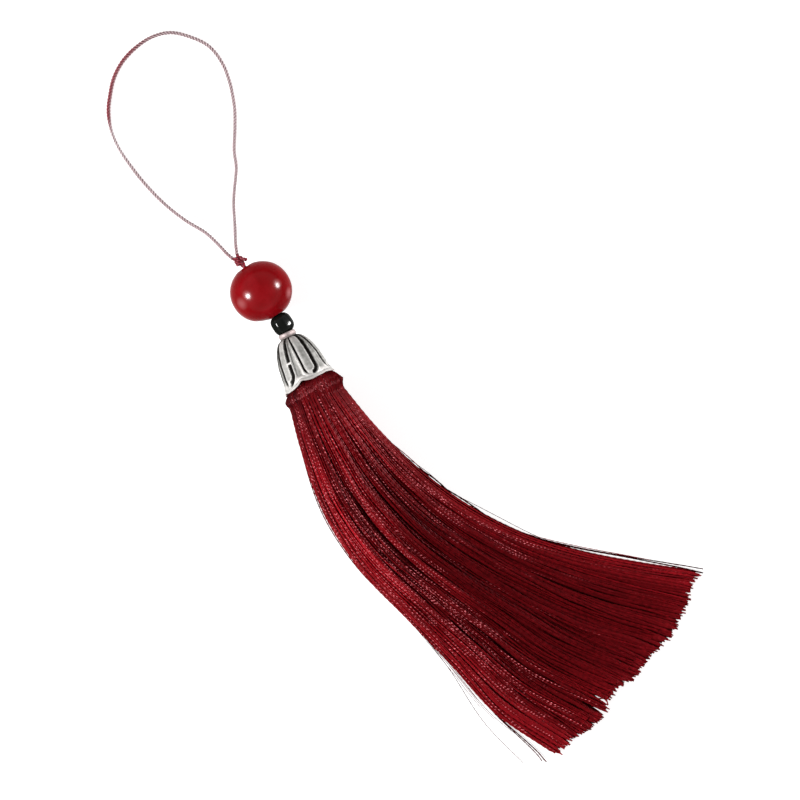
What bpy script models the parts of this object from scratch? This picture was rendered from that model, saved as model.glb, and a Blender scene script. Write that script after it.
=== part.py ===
"""A silk tassel on its hanging loop, lying on a flat surface: +X runs from the loop to the skirt's ends.

Sizes are in millimetres and become metres where a mesh is made. The pieces on the string are turned about
their own +X axis and then laid down at their place, turned in plan.
"""

import math
import random

import bmesh
import bpy
from mathutils import Vector
from mathutils.geometry import delaunay_2d_cdt

MM = 0.001
CLEARANCE = 0.3  # between neighbouring pieces
STRING_HEIGHT = 5.85  # of the string's line above the surface

# The loop cord, from the knot round the loop and back to the knot.
CORD_DIAMETER = 0.8
CORD_STEP = 2.0
LOOP_ROUTE = (  # x, y, z
    (-57.68, 4.90, 5.90),
    (-59.39, 6.13, 4.92),
    (-62.22, 8.64, 3.42),
    (-64.56, 10.62, 2.40),
    (-66.73, 12.79, 1.62),
    (-68.91, 15.51, 0.95),
    (-71.48, 17.91, 0.56),
    (-75.61, 22.11, 0.42),
    (-78.62, 24.65, 0.42),
    (-82.61, 27.35, 0.42),
    (-86.46, 29.01, 0.42),
    (-90.41, 29.41, 0.42),
    (-94.08, 28.19, 0.42),
    (-97.41, 26.08, 0.42),
    (-99.31, 23.09, 0.42),
    (-100.13, 19.56, 0.42),
    (-100.06, 15.68, 0.42),
    (-98.97, 12.14, 0.42),
    (-97.07, 9.15, 0.42),
    (-95.10, 6.77, 0.42),
    (-92.31, 4.67, 0.42),
    (-89.05, 3.31, 0.42),
    (-85.24, 2.49, 0.42),
    (-80.22, 1.90, 0.44),
    (-74.91, 1.84, 0.82),
    (-69.73, 2.46, 1.70),
    (-65.17, 3.53, 3.00),
    (-61.49, 3.68, 4.25),
    (-59.32, 3.61, 5.16),
    (-57.67, 3.74, 5.90),
)

# The knot over the bead, its cut end, and the doubled cord that it sends down through the string.
KNOT_AT = (-56.53, 4.29)
KNOT_TURN = -10.0
KNOT_RADIUS = 1.0
KNOT_HALF_LENGTH = 0.95
KNOT_TURNS = 3  # turns of cord that show on it
KNOT_RIDGE = 0.13
CUT_END_AT = (-55.78, 5.31)
CUT_END_RADIUS = 0.42
STRING_RADIUS = 0.6

# The red bead.
BEAD_AT = (-49.50, 3.06)
BEAD_TURN = -11.0
BEAD_RADIUS = 6.0
BEAD_HALF_LENGTH = 5.74
BEAD_FULLNESS = 2.05  # exponent of its outline; 2 is an ellipse
BEAD_BORE = 1.0

# The black spacer.
SPACER_AT = (-42.12, 1.56)
SPACER_TURN = -12.0
SPACER_RADIUS = 2.15
SPACER_HALF_LENGTH = 1.65
SPACER_FULLNESS = 2.7
SPACER_BORE = 0.92

# The cap: its rim's middle and the direction of its axis, which is the neck's too.
RIM_AT = (-30.91, -2.59)
NECK_TURN = -20.0
CAP_OUTSIDE = (  # distance from the small end, radius
    (0.00, 1.50),
    (0.12, 1.66),
    (0.70, 1.70),
    (0.85, 1.60),
    (1.02, 1.85),
    (1.35, 2.45),
    (1.80, 2.88),
    (2.55, 3.36),
    (3.75, 3.78),
    (5.45, 4.26),
    (7.40, 4.54),
    (9.05, 4.82),
    (9.65, 5.00),
    (10.05, 5.22),
)
CAP_INSIDE = (
    (9.95, 4.60),
    (8.95, 4.04),
    (5.75, 3.56),
    (3.75, 3.12),
    (2.35, 2.45),
    (1.50, 0.95),
    (0.00, 0.95),
)
CAP_SIDES = 48
PETALS = 6
PETAL_PHASE = 18.5  # degrees from straight up to the nearest petal's middle
PETAL_GROOVE_ANGLE = 15.75  # degrees from a petal's middle to the groove beside it
PETAL_GROOVE_DEPTH = 0.32
PETAL_GROOVE_FROM = 1.35
PETAL_GROOVE_TO = 8.95
PETAL_GROOVE_WIDTH = 0.36
RIM_NOTCHES = (0.10, 0.30, 0.40, 0.30, 0.35, 0.65)  # into the rim, after each petal in turn

# The tassel's head: a collar of folded threads below the rim, and its top inside the cap.
HEAD = (  # distance from the cap's rim, radius as a share of the collar's ridge, from the strands to the top
    (2.90, 0.945),
    (2.60, 0.985),
    (2.35, 1.000),
    (1.90, 0.970),
    (1.00, 0.922),
    (0.35, 0.876),
    (0.35, 0.749),
    (-0.20, 0.711),
    (-1.20, 0.626),
    (-4.40, 0.548),
    (-6.30, 0.470),
    (-7.50, 0.340),
    (-8.00, 0.120),
)
HEAD_SIDES = 32
RIDGE_RADIUS = STRING_HEIGHT / math.cos(math.pi / HEAD_SIDES)  # its lowest facet lies on the surface

# The skirt. Each row is a station along it: the share of its length, the middle and half width of the
# section in plan, the direction across which it fans, half its height, how flat it lies (0 round, 1 with a
# flat underside) and how high its lowest threads run.
SKIRT_COLUMNS = ("share", "x", "y", "half_width", "turn", "half_height", "flat", "lift")
SKIRT = (
    (0.00, -28.19, -3.58, 5.20, -20.00, 5.20, 0.00, 0.65),
    (0.10, -19.26, -6.41, 7.40, -24.00, 4.60, 0.20, 0.42),
    (0.25, -7.70, -9.15, 10.05, -18.70, 3.70, 0.60, 0.16),
    (0.40, 4.25, -9.73, 12.05, -13.00, 2.90, 0.90, 0.14),
    (0.55, 16.26, -8.14, 13.75, -8.10, 2.35, 1.00, 0.14),
    (0.70, 27.82, -5.65, 16.35, -2.60, 2.00, 1.00, 0.14),
    (0.85, 39.06, -2.70, 19.85, 2.10, 1.75, 1.00, 0.14),
    (1.00, 49.96, 1.84, 22.25, 6.00, 1.55, 1.00, 0.14),
)
STRANDS = 236
STRAND_STATIONS = (0.0, 0.07, 0.18, 0.33, 0.52, 0.75, 1.0)  # shares of each strand's own length
ROOT_RADIUS = 0.2
STRAND_RADIUS = 0.26
END_LINE = (  # place across the skirt, how far its strands pass the last row, as a share of the skirt
    (-1.00, 0.018),
    (-0.80, 0.024),
    (-0.64, 0.039),
    (-0.50, 0.047),
    (-0.38, 0.030),
    (-0.20, 0.029),
    (-0.06, 0.047),
    (0.20, 0.046),
    (0.40, 0.055),
    (0.56, 0.046),
    (0.72, 0.035),
    (0.88, 0.012),
    (1.00, 0.017),
)
END_RAGGED = 0.009
LOCKS = 9
LOCK_RIDGE = 0.10
STRAYS = (  # side of the skirt it leaves, share of the length where it leaves, end x, end y
    (-1, 0.60, 50.01, -25.56),
    (-1, 0.72, 52.73, -23.02),
    (-1, 0.78, 53.55, -22.42),
    (1, 0.74, 48.51, 25.58),
    (1, 0.80, 49.22, 24.68),
)
GOLDEN = (1 + math.sqrt(5)) / 2
SEED = 7


def clear_scene():
    for thing in list(bpy.data.objects):
        bpy.data.objects.remove(thing, do_unlink=True)


def material(name, colour, roughness, metallic=0.0):
    finish = bpy.data.materials.new(name)
    finish.use_nodes = True
    shader = finish.node_tree.nodes["Principled BSDF"]
    shader.inputs["Base Color"].default_value = (*colour, 1.0)
    shader.inputs["Roughness"].default_value = roughness
    shader.inputs["Metallic"].default_value = metallic
    finish.diffuse_color = (*colour, 1.0)
    return finish


def new_object(name, body, finish, sharp_degrees=35.0):
    """An object from a finished bmesh, with its faces pointing out and its round faces smooth."""
    bmesh.ops.recalc_face_normals(body, faces=body.faces)
    mesh = bpy.data.meshes.new(name)
    body.to_mesh(mesh)
    body.free()
    mesh.materials.append(finish)
    mesh.shade_smooth()
    mesh.set_sharp_from_angle(angle=math.radians(sharp_degrees))
    thing = bpy.data.objects.new(name, mesh)
    bpy.context.scene.collection.objects.link(thing)
    return thing


def lay(thing, at, turn):
    thing.location = (at[0] * MM, at[1] * MM, STRING_HEIGHT * MM)
    thing.rotation_euler = (0.0, 0.0, math.radians(turn))


def spun(profile, sides):
    """A bmesh of the (along, radius) outline turned about X, one facet facing straight down."""
    body = bmesh.new()
    start = math.pi / sides
    points = [
        body.verts.new((along * MM, radius * MM * math.sin(start), -radius * MM * math.cos(start)))
        for along, radius in profile
    ]
    edges = [body.edges.new(pair) for pair in zip(points, points[1:])]
    if profile[0][1] > 0.0:
        edges.append(body.edges.new((points[-1], points[0])))
    bmesh.ops.spin(body, geom=points + edges, axis=(1, 0, 0), cent=(0, 0, 0), steps=sides, angle=math.tau)
    bmesh.ops.remove_doubles(body, verts=body.verts, dist=1e-7)
    return body


def bead_outline(radius, half_length, fullness, bore, steps):
    """The outline of a bored bead: round its outside from one end of the bore to the other."""
    first = math.asin((bore / radius) ** (fullness / 2))
    outline = []
    for step in range(steps + 1):
        angle = first + (math.pi - 2 * first) * step / steps
        along = math.copysign(abs(math.cos(angle)) ** (2 / fullness), math.cos(angle))
        outline.append((half_length * along, radius * math.sin(angle) ** (2 / fullness)))
    return outline


def smooth_through(points, at):
    """The point at a share of the way (counted in points) along a smooth curve through the points."""
    index = min(max(int(at), 0), len(points) - 2)
    part = at - index
    before = points[max(index - 1, 0)]
    start, end = points[index], points[index + 1]
    after = points[min(index + 2, len(points) - 1)]
    value = []
    for a, b, c, d in zip(before, start, end, after):
        rise = (c - a) / 2
        fall = (d - b) / 2
        bend = 3 * (c - b) - 2 * rise - fall
        unbend = 2 * (b - c) + rise + fall
        value.append(b + rise * part + bend * part**2 + unbend * part**3)
    return value


def even_points(route, step):
    """Points a step apart along the smooth curve through the route."""
    fine = [Vector(smooth_through(route, n / 40)) for n in range(40 * (len(route) - 1) + 1)]
    total = sum((b - a).length for a, b in zip(fine, fine[1:]))
    count = round(total / step)
    wanted, walked, found = 0, 0.0, []
    for a, b in zip(fine, fine[1:]):
        length = (b - a).length
        while wanted < count and wanted * total / count <= walked + length:
            found.append(a.lerp(b, (wanted * total / count - walked) / length))
            wanted += 1
        walked += length
    found.append(fine[-1])
    return found


def make_loop(finish):
    points = even_points(LOOP_ROUTE, CORD_STEP)
    curve = bpy.data.curves.new("hanging_loop", "CURVE")
    curve.dimensions = "3D"
    curve.bevel_depth = CORD_DIAMETER / 2 * MM
    curve.bevel_resolution = 2
    curve.use_fill_caps = True
    spline = curve.splines.new("POLY")
    spline.points.add(len(points) - 1)
    for place, point in zip(spline.points, points):
        place.co = (*(point * MM), 1.0)
    curve.materials.append(finish)
    cord = bpy.data.objects.new("hanging_loop", curve)
    bpy.context.scene.collection.objects.link(cord)
    return cord


def make_knot(finish):
    """A short barrel with its turns of cord as slanting ridges, its cut end, and the cord below it."""
    outline = [(-KNOT_HALF_LENGTH, 0.0)]
    for step in range(1, 12):
        angle = math.pi * step / 12
        outline.append((-KNOT_HALF_LENGTH * math.cos(angle), KNOT_RADIUS * math.sin(angle) ** 0.6))
    outline.append((KNOT_HALF_LENGTH, 0.0))
    body = spun(outline, 24)
    for point in body.verts:
        radius = math.hypot(point.co.y, point.co.z)
        if radius < 1e-7:
            continue
        turn = math.atan2(point.co.z, point.co.y)
        share = point.co.x / (2 * KNOT_HALF_LENGTH * MM) + 0.5
        ridge = KNOT_RIDGE * MM * math.sin(math.tau * KNOT_TURNS * share - turn) * math.sin(math.pi * share)
        point.co.y *= (radius + ridge) / radius
        point.co.z *= (radius + ridge) / radius
    knot = new_object("knot", body, finish)
    lay(knot, KNOT_AT, KNOT_TURN)
    return knot


def join(thing, other):
    """Joins a helper solid into the thing, and leaves the helper out of the model."""
    union = thing.modifiers.new(other.name, "BOOLEAN")
    union.operation = "UNION"
    union.object = other
    other.hide_render = True
    other.display_type = "WIRE"


def helper_tube(name, points, radius, sides, finish):
    """A closed tube through points given in millimetres in the model's own frame."""
    body = bmesh.new()
    rings = []
    places = [Vector(point) * MM for point in points]
    for index, place in enumerate(places):
        forward = (places[min(index + 1, len(places) - 1)] - places[max(index - 1, 0)]).normalized()
        across = forward.cross(Vector((0, 0, 1))).normalized()
        upward = across.cross(forward)
        rings.append([])
        for side in range(sides):
            angle = math.tau * side / sides
            offset = (across * math.cos(angle) + upward * math.sin(angle)) * radius * MM
            rings[-1].append(body.verts.new(place + offset))
    for ring, following in zip(rings, rings[1:]):
        for side in range(sides):
            nearby = (side + 1) % sides
            body.faces.new((ring[side], ring[nearby], following[nearby], following[side]))
    body.faces.new(rings[0][::-1])
    body.faces.new(rings[-1])
    return new_object(name, body, finish)


def add_string(knot, finish):
    """The doubled cord that runs from the knot down through the bead, the spacer and the cap's small end."""
    head_top = neck_point(HEAD[-1][0] - CLEARANCE)
    route = [(*KNOT_AT, STRING_HEIGHT), (*bead_end(-1), STRING_HEIGHT), (*bead_end(1), STRING_HEIGHT)]
    route += [(*SPACER_AT, STRING_HEIGHT), (*neck_point(-CAP_OUTSIDE[-1][0]), STRING_HEIGHT)]
    route.append((*head_top, STRING_HEIGHT))
    join(knot, helper_tube("string_below_knot", route, STRING_RADIUS, 12, finish))
    tip = Vector((*CUT_END_AT, STRING_HEIGHT + 0.5))
    start = Vector((*KNOT_AT, STRING_HEIGHT))
    join(knot, helper_tube("cut_end", (start, start.lerp(tip, 0.6), tip), CUT_END_RADIUS, 8, finish))


def bead_end(side):
    turn = math.radians(BEAD_TURN)
    reach = side * BEAD_HALF_LENGTH
    return BEAD_AT[0] + reach * math.cos(turn), BEAD_AT[1] + reach * math.sin(turn)


def neck_point(along, across=0.0):
    """The plan place of a point beside the neck's axis, measured from the cap's rim."""
    turn = math.radians(NECK_TURN)
    return (
        RIM_AT[0] + along * math.cos(turn) - across * math.sin(turn),
        RIM_AT[1] + along * math.sin(turn) + across * math.cos(turn),
    )


def make_bead(finish):
    body = spun(bead_outline(BEAD_RADIUS, BEAD_HALF_LENGTH, BEAD_FULLNESS, BEAD_BORE, 14), 36)
    everything = body.verts[:] + body.edges[:] + body.faces[:]
    cut = bmesh.ops.bisect_plane(
        body, geom=everything, plane_co=(0, 0, -STRING_HEIGHT * MM), plane_no=(0, 0, -1), clear_outer=True
    )
    rim = [part for part in cut["geom_cut"] if isinstance(part, bmesh.types.BMEdge)]
    bmesh.ops.contextual_create(body, geom=rim)
    bead = new_object("red_bead", body, finish)
    lay(bead, BEAD_AT, BEAD_TURN)
    return bead


def make_spacer(finish):
    body = spun(bead_outline(SPACER_RADIUS, SPACER_HALF_LENGTH, SPACER_FULLNESS, SPACER_BORE, 8), 24)
    spacer = new_object("black_spacer", body, finish)
    lay(spacer, SPACER_AT, SPACER_TURN)
    return spacer


def petal_offset(angle):
    """Degrees from the nearest petal's middle, for an angle counted from straight up."""
    pitch = 360 / PETALS
    return (angle - PETAL_PHASE + pitch / 2) % pitch - pitch / 2


def groove_share(along, angle):
    """How deep the U-shaped groove round a petal is here: 1 in its middle, 0 off it."""
    offset = abs(petal_offset(angle))
    radius = 4.0
    foot = PETAL_GROOVE_TO - math.radians(PETAL_GROOVE_ANGLE) * radius
    if along < foot:
        away = abs(math.radians(offset - PETAL_GROOVE_ANGLE)) * radius
    else:
        away = abs(math.hypot(math.radians(offset) * radius, along - foot) - (PETAL_GROOVE_TO - foot))
    start = min(max((along - PETAL_GROOVE_FROM) / 0.8, 0.0), 1.0)
    return start * max(0.0, 1.0 - away / PETAL_GROOVE_WIDTH)


def make_cap(finish):
    """The fluted cap. Its wall is turned first, then its petals are sunk and its rim is scalloped."""
    length = CAP_OUTSIDE[-1][0]
    fine = even_outline(CAP_OUTSIDE, 14)
    body = spun(fine + list(CAP_INSIDE), CAP_SIDES)
    mouth = length - 1.2
    for point in body.verts:
        along = point.co.x / MM
        radius = math.hypot(point.co.y, point.co.z) / MM
        angle = math.degrees(math.atan2(point.co.y, point.co.z))
        outside = value_at(CAP_OUTSIDE, along)
        if abs(radius - outside) < 0.05 and along > 0.8:
            sunk = PETAL_GROOVE_DEPTH * groove_share(along, angle)
            point.co.y *= (radius - sunk) / radius
            point.co.z *= (radius - sunk) / radius
        if along > mouth:
            notch = RIM_NOTCHES[int((angle - PETAL_PHASE) % 360 * PETALS / 360)]
            notch *= math.sin(math.radians(petal_offset(angle) * PETALS / 2)) ** 2
            point.co.x -= notch * (along - mouth) / (length - mouth) * MM
    for point in body.verts:
        point.co.x -= length * MM
    cap = new_object("cap", body, finish, 50.0)
    lay(cap, RIM_AT, NECK_TURN)
    return cap


def value_at(rows, place):
    """The second column read at a place in the first, straight between the rows."""
    for (start, low), (end, high) in zip(rows, rows[1:]):
        if start <= place <= end:
            return low + (high - low) * (place - start) / (end - start)
    return rows[-1][1] if place > rows[-1][0] else rows[0][1]


def even_outline(outline, steps):
    """The outline with its long stretches cut into even steps, its own corners kept."""
    spacing = outline[-1][0] / steps
    fine = [outline[0]]
    for (start, low), (end, high) in zip(outline, outline[1:]):
        count = max(1, round((end - start) / spacing))
        for step in range(1, count + 1):
            fine.append((start + (end - start) * step / count, low + (high - low) * step / count))
    return fine


def skirt_station(share):
    """The skirt's section at a share of its length, straight on past its last row."""
    last = SKIRT[-1]
    index = 0
    while index < len(SKIRT) - 2 and share > SKIRT[index + 1][0]:
        index += 1
    start, end = SKIRT[index][0], SKIRT[index + 1][0]
    row = smooth_through([r[1:] for r in SKIRT], index + min((share - start) / (end - start), 1.0))
    if share > last[0]:
        grown = (share - last[0]) / (last[0] - SKIRT[-2][0])
        row = [value + (value - before) * grown for value, before in zip(last[1:], SKIRT[-2][1:])]
    return dict(zip(SKIRT_COLUMNS[1:], row))


def lock_wave(across):
    """A slow uneven wave across the skirt: 1 on a lock's crest, -1 between locks."""
    phase = math.pi * LOCKS * across
    return 0.7 * math.cos(phase + 0.9 * math.sin(1.7 * across)) + 0.3 * math.cos(0.53 * phase + 1.0)


def strand_point(across, upward, share):
    """The middle of a strand where it crosses a section: across and upward are its place in the neck's disc."""
    row = skirt_station(share)
    turn = math.radians(row["turn"])
    half_column = math.sqrt(max(0.0, 1.0 - across**2))
    middle = (1 - row["flat"]) + row["flat"] * half_column
    height = row["half_height"] * (middle + upward)
    height *= 1 + LOCK_RIDGE * row["flat"] * lock_wave(across)
    return Vector(
        (
            row["x"] - across * row["half_width"] * math.sin(turn),
            row["y"] + across * row["half_width"] * math.cos(turn),
            row["lift"] + height,
        )
    )


def golden_places():
    """Places in a unit disc that stay well apart however the disc is stretched along one axis and flattened."""
    step = math.sqrt(math.pi / (math.sqrt(5) * STRANDS))
    reach = int(2 / step)
    places = []
    for i in range(-reach, reach + 1):
        for j in range(-reach, reach + 1):
            across = (i + 0.37 + (j + 0.21) * GOLDEN) * step
            upward = (i + 0.37 - (j + 0.21) / GOLDEN) * step
            if math.hypot(across, upward) < 1.0:
                places.append((across, upward))
    return sorted(places)


def strand_routes():
    """The route of each strand, as its points from root to end."""
    chance = random.Random(SEED)
    places = golden_places()
    by_side = {-1: iter(places), 1: iter(reversed(places))}
    strays = {}
    for side, leaves, x, y in STRAYS:
        strays[next(by_side[side])] = (leaves, Vector((x, y, STRAND_RADIUS / 2)))
    routes = []
    for across, upward in places:
        end = 1 + value_at(END_LINE, across) + END_RAGGED * chance.uniform(-1, 1)
        route = [strand_point(across, upward, end * share) for share in STRAND_STATIONS]
        if (across, upward) in strays:
            leaves, tip = strays[across, upward]
            start = strand_point(across, upward, leaves)
            for index, share in enumerate(STRAND_STATIONS):
                if share > leaves:
                    route[index] = start.lerp(tip, (share - leaves) / (1 - leaves))
        routes.append(route)
    return routes


def make_skirt(finish):
    """The tassel's head, with each strand drawn out of a small triangle of its face."""
    routes = strand_routes()
    turn = math.radians(NECK_TURN)
    face_at = Vector((SKIRT[0][1], SKIRT[0][2], STRING_HEIGHT))
    face_across = Vector((-math.sin(turn), math.cos(turn), 0))
    rim = [math.tau * (side + 0.5) / HEAD_SIDES for side in range(HEAD_SIDES)]
    face_radius = HEAD[0][1] * RIDGE_RADIUS
    plan = [Vector((face_radius * math.sin(a), -face_radius * math.cos(a))) for a in rim]
    loops = [list(range(HEAD_SIDES))]
    corner_angles = [math.radians(angle) for angle in (90, 210, 330)]
    for route in routes:
        middle = Vector(((route[0] - face_at).dot(face_across), route[0].z - STRING_HEIGHT))
        loops.append(list(range(len(plan), len(plan) + 3)))
        plan += [middle + ROOT_RADIUS * Vector((math.cos(a), math.sin(a))) for a in corner_angles]
    points, _, faces, _, _, sources = delaunay_2d_cdt(plan, [], loops, 1, 1e-6)
    body = bmesh.new()
    places = [face_at + face_across * p.x + Vector((0, 0, p.y)) for p in points]
    corners = [body.verts.new(place * MM) for place in places]
    roots = {}
    for face, source in zip(faces, sources):
        made = body.faces.new([corners[index] for index in face])
        for loop in source:
            if loop > 0:
                roots[loop - 1] = made
    add_head(body, corners[:HEAD_SIDES])
    for index, face in roots.items():
        draw_strand(body, face, routes[index], corner_angles)
    return new_object("skirt", body, finish, 80.0)


def add_head(body, rim):
    """The head behind the face: its collar below the rim, then up inside the cap to its rounded top."""
    ring = rim
    for along, share in HEAD[1:]:
        radius = share * RIDGE_RADIUS
        following = []
        for side in range(HEAD_SIDES):
            angle = math.tau * (side + 0.5) / HEAD_SIDES
            x, y = neck_point(along, radius * math.sin(angle))
            z = STRING_HEIGHT - radius * math.cos(angle)
            following.append(body.verts.new((x * MM, y * MM, z * MM)))
        for side in range(HEAD_SIDES):
            nearby = (side + 1) % HEAD_SIDES
            body.faces.new((ring[side], ring[nearby], following[nearby], following[side]))
        ring = following
    body.faces.new(ring)


def draw_strand(body, face, route, corner_angles):
    """Extrudes a root triangle along the strand's route, level side down."""
    for index, middle in enumerate(route[1:], 1):
        after = route[min(index + 1, len(route) - 1)]
        forward = after - route[index - 1]
        across = Vector((-forward.y, forward.x, 0)).normalized()
        made = bmesh.ops.extrude_discrete_faces(body, faces=[face])
        face = made["faces"][0]
        for corner, angle in zip(face.verts, corner_angles):
            offset = STRAND_RADIUS * (across * math.cos(angle) + Vector((0, 0, math.sin(angle))))
            corner.co = (middle + offset) * MM


def main():
    clear_scene()
    cord_red = material("twisted_red_cord", (0.30, 0.02, 0.03), 0.55)
    silk = material("red_silk", (0.22, 0.01, 0.015), 0.40)
    make_loop(cord_red)
    add_string(make_knot(cord_red), cord_red)
    make_bead(material("glossy_red_bead", (0.36, 0.01, 0.015), 0.12))
    make_spacer(material("glossy_black_bead", (0.01, 0.01, 0.012), 0.10))
    make_cap(material("antique_silver", (0.55, 0.53, 0.50), 0.32, 1.0))
    make_skirt(silk)


main()
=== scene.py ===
import math
import random

import bpy
import numpy as np
from mathutils import Matrix, Vector


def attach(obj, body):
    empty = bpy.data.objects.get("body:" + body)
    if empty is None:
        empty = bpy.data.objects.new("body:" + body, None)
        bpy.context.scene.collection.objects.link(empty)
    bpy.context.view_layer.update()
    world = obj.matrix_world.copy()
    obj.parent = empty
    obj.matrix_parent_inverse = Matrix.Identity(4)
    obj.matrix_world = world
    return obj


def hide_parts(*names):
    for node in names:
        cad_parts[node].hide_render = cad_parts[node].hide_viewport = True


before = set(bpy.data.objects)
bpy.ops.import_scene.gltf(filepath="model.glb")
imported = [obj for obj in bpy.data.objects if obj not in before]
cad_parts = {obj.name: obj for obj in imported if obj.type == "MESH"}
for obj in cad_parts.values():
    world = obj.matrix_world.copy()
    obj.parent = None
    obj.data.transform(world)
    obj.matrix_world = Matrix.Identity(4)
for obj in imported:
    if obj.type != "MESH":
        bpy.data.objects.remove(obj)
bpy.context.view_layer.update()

# ---- Studio ----
# A white table seen from straight above, with the object laid across it from corner to corner. Two round
# lamps stand low on either side under a pale dome.

MM = 0.001
MIDDLE_OF_VIEW = (-15.94 * MM, 7.22 * MM)
VIEW_WIDTH = 153.85 * MM
VIEW_HEIGHT = 603.0 * MM
VIEW_PLANE = 3.0 * MM  # the height at which the view is that wide
VIEW_TURN = 45.0
LAMP_DISTANCE = 0.6
LAMPS = (  # name, direction to the lamp, diameter, watts
    ("lamp_right", (0.350, 0.863, 0.361), 0.17, 3.6),
    ("lamp_left", (-0.351, -0.695, 0.627), 0.15, 4.4),
)
DOME = ((0.0, 0.60), (0.45, 0.30), (1.0, 0.15))  # height of the direction, brightness
TABLE_SIZE = 6.0
TABLE_GRAIN = ((0.3, 0.54), (0.7, 0.56))
TABLE_GLOW = 0.70  # keeps the table white out to its edges


def give(node, inputs):
    """Gives each of a node's named inputs its value, or a link from a socket."""
    for name, value in inputs.items():
        if isinstance(value, bpy.types.NodeSocket):
            node.id_data.links.new(value, node.inputs[name])
        else:
            node.inputs[name].default_value = value


def add_node(tree, kind, inputs=None, **settings):
    """A new node with its settings and its inputs."""
    node = tree.nodes.new(kind)
    for name, value in settings.items():
        setattr(node, name, value)
    give(node, inputs or {})
    return node


def ramp(socket, stops):
    """A colour ramp over a value; each stop is a place and a colour or a grey."""
    node = add_node(socket.id_data, "ShaderNodeValToRGB", {"Fac": socket})
    elements = node.color_ramp.elements
    for index, (place, colour) in enumerate(stops):
        element = elements[index] if index < 2 else elements.new(place)
        element.position = place
        element.color = (*colour, 1.0) if isinstance(colour, tuple) else (colour, colour, colour, 1.0)
    return node.outputs["Color"]


def grain(tree, **inputs):
    """An uneven pattern that stays where it is in the piece, from 0 to 1."""
    place = add_node(tree, "ShaderNodeTexCoord").outputs["Object"]
    return add_node(tree, "ShaderNodeTexNoise", {"Vector": place, **inputs}).outputs["Fac"]


def new_material(name, inputs):
    """A material with a Principled shader, and what that shader's own sockets say."""
    made = bpy.data.materials.new(name)
    made.use_nodes = True
    shader = made.node_tree.nodes["Principled BSDF"]
    give(shader, inputs)
    return made, made.node_tree, shader


camera_data = bpy.data.cameras.new("camera")
camera_data.lens = camera_data.sensor_width * (VIEW_HEIGHT - VIEW_PLANE) / VIEW_WIDTH
camera_data.clip_start = 0.01
camera = bpy.data.objects.new("camera", camera_data)
camera.location = (*MIDDLE_OF_VIEW, VIEW_HEIGHT)
camera.rotation_euler = (0.0, 0.0, math.radians(VIEW_TURN))
bpy.context.scene.collection.objects.link(camera)
bpy.context.scene.camera = camera
bpy.context.scene.view_settings.view_transform = "Standard"

for name, direction, diameter, watts in LAMPS:
    lamp_data = bpy.data.lights.new(name, "AREA")
    lamp_data.shape = "DISK"
    lamp_data.size = diameter
    lamp_data.energy = watts
    lamp = bpy.data.objects.new(name, lamp_data)
    toward = Vector(direction).normalized()
    lamp.location = Vector((*MIDDLE_OF_VIEW, 0)) + toward * LAMP_DISTANCE
    lamp.rotation_euler = toward.to_track_quat("Z", "Y").to_euler()
    bpy.context.scene.collection.objects.link(lamp)

dome = bpy.data.worlds.new("pale_dome")
dome.use_nodes = True
tree = dome.node_tree
direction = add_node(tree, "ShaderNodeTexCoord").outputs["Generated"]
height = add_node(tree, "ShaderNodeSeparateXYZ", {"Vector": direction}).outputs["Z"]
give(tree.nodes["Background"], {"Color": ramp(height, DOME)})
bpy.context.scene.world = dome

bpy.ops.object.select_all(action="DESELECT")
bpy.ops.mesh.primitive_plane_add(size=TABLE_SIZE, location=(0, 0, 0))
floor = bpy.context.object
floor.name = "studio_floor"
white, tree, shader = new_material("white_table", {
    "Roughness": 0.9, "Specular IOR Level": 0.1, "Emission Color": (1.0, 1.0, 1.0, 1.0),
    "Emission Strength": TABLE_GLOW})
give(shader, {"Base Color": ramp(grain(tree, Scale=3.0), TABLE_GRAIN)})
floor.data.materials.append(white)

# ---- Hanging loop ----
# One length of fine cord, three plies of red silk laid up together. It runs from the knot out round the
# loop and back into the knot, slopes down from the bead's height and then lies on the table.

CORD_DIAMETER = 0.8 * MM
CORD_PLIES = 3
CORD_LAY = 1.9 * MM
CORD_STEP = 0.20 * MM
CORD_CORNERS = 12
ROUTE_FINENESS = 40  # points read between two rows of a route
PLY_DEPTH = 0.42  # how far the cord's outline dips between two plies, as a share of its radius
FULLNESS = (  # share of the loop's length from the knot, the cord's thickness there
    (0.0, 1.0), (0.50, 1.0), (0.53, 1.13), (0.65, 1.13), (0.672, 0.86), (0.71, 0.84), (0.76, 1.0),
    (1.0, 1.0),
)
CORD_PALENESS = (  # the same share, how pale the cord's colour is there
    (0.0, 0.55), (0.03, 0.86), (0.40, 0.82), (0.47, 0.70), (0.505, 0.42), (0.53, 0.06), (0.655, 0.0),
    (0.672, 0.60), (0.685, 1.0), (0.72, 1.0), (0.76, 0.86), (0.96, 0.80), (1.0, 0.50),
)
INNER_SIDE_LIGHT = 0.55  # painted light: how much of the rest is made pale on the side that faces the loop's inside
DEEP_RED = ((0.0, (0.29, 0.034, 0.050)), (1.0, (0.050, 0.004, 0.008)))  # painted light and shade: from a ply's lit crest to its shaded crevice
# The same painted light and shade on the paler parts of the cord.
PALE_ROSE = ((0.0, (0.66, 0.56, 0.575)), (1.0, (0.045, 0.014, 0.018)))
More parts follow.
